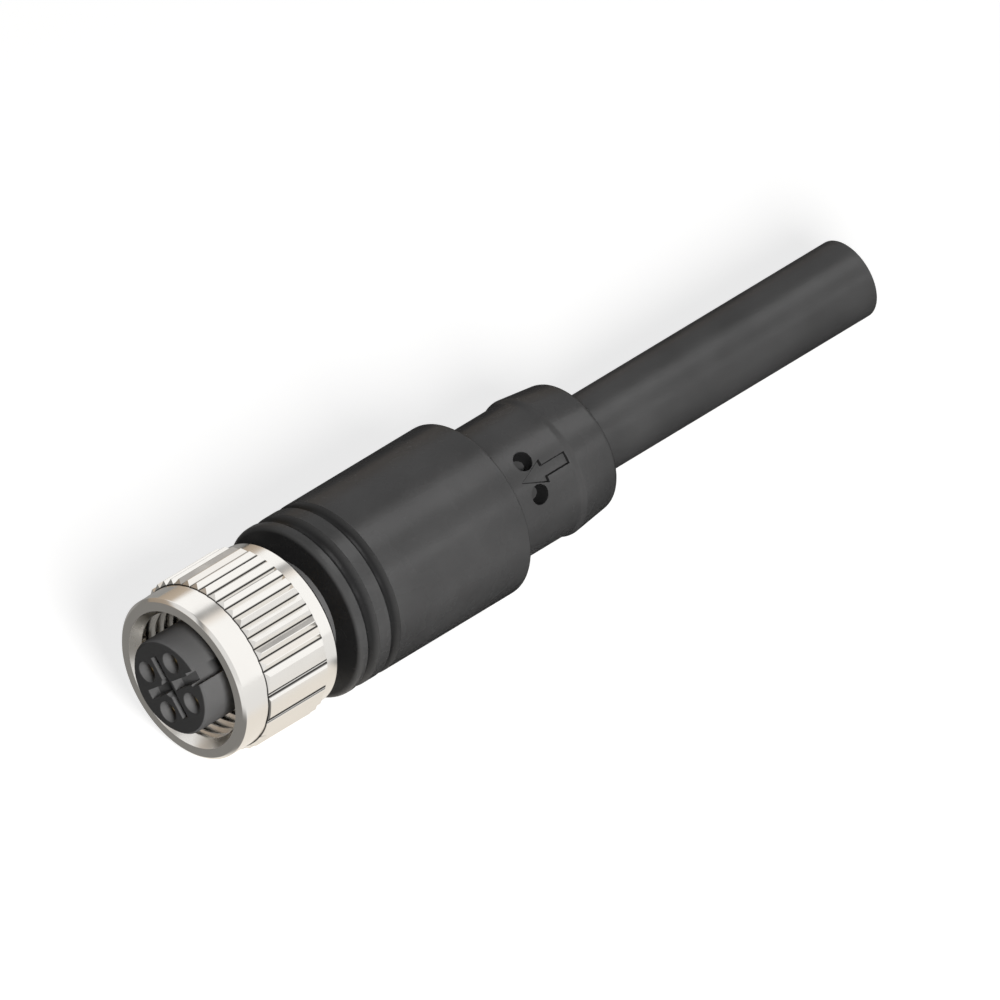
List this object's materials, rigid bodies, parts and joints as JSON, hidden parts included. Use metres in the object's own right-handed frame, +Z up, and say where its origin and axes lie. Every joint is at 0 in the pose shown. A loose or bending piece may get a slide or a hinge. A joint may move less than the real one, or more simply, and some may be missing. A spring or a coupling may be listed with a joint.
{
  "type": "circular sensor cable",
  "caption": "Round sensor cable with a four-way socket insert, knurled coupling nut, moulded grip with grooves and a sunk arrow, and a straight cut cable.",
  "frame": {"origin": "centre of the coupling nut's front plane, on the axis", "axes": "+X along the axis from the mating end to the cable, +Z up; the keyway and the arrow are 48.2 degrees from +Z towards -Y"},
  "size_m": [0.0741, 0.015, 0.015],
  "materials": {
    "nickel_plate": "bright nickel plate",
    "spring_steel": "bright spring steel",
    "seal_rubber": "smooth moulded rubber",
    "insert_plastic": "fine moulded satin",
    "contact_gold": "thin gold plate",
    "inner_plastic": "natural moulded",
    "grip_plastic": "soft satin moulding",
    "jacket_plastic": "extruded satin sheath",
    "filler_plastic": "soft filling",
    "core_brown": "smooth insulation",
    "core_white": "smooth insulation",
    "core_blue": "smooth insulation",
    "core_black": "smooth insulation",
    "copper": "bare copper strands"
  },
  "bodies": {
    "grip": {"seal_ring": "seal_rubber", "contact_carrier": "insert_plastic", "inner_mould": "inner_plastic", "grip_body": "grip_plastic", "cable_jacket": "jacket_plastic", "cable_filler": "filler_plastic", "socket_contact_1": "contact_gold", "core_brown": "core_brown", "conductor_brown": "copper", "socket_contact_2": "contact_gold", "core_white": "core_white", "conductor_white": "copper", "socket_contact_3": "contact_gold", "core_blue": "core_blue", "conductor_blue": "copper", "socket_contact_4": "contact_gold", "core_black": "core_black", "conductor_black": "copper"},
    "nut_ring": {"snap_ring": "spring_steel"},
    "nut": {"coupling_nut": "nickel_plate"}
  },
  "joints": [
    {"name": "nut_float", "type": "slide", "parent": "grip", "child": "nut_ring", "axis": [1, 0, 0], "range_m": [0, 0.00166]},
    {"name": "nut_spin", "type": "hinge", "parent": "nut_ring", "child": "nut", "pos_m": [0.0052, 0, 0], "axis": [1, 0, 0], "continuous": true}
  ]
}
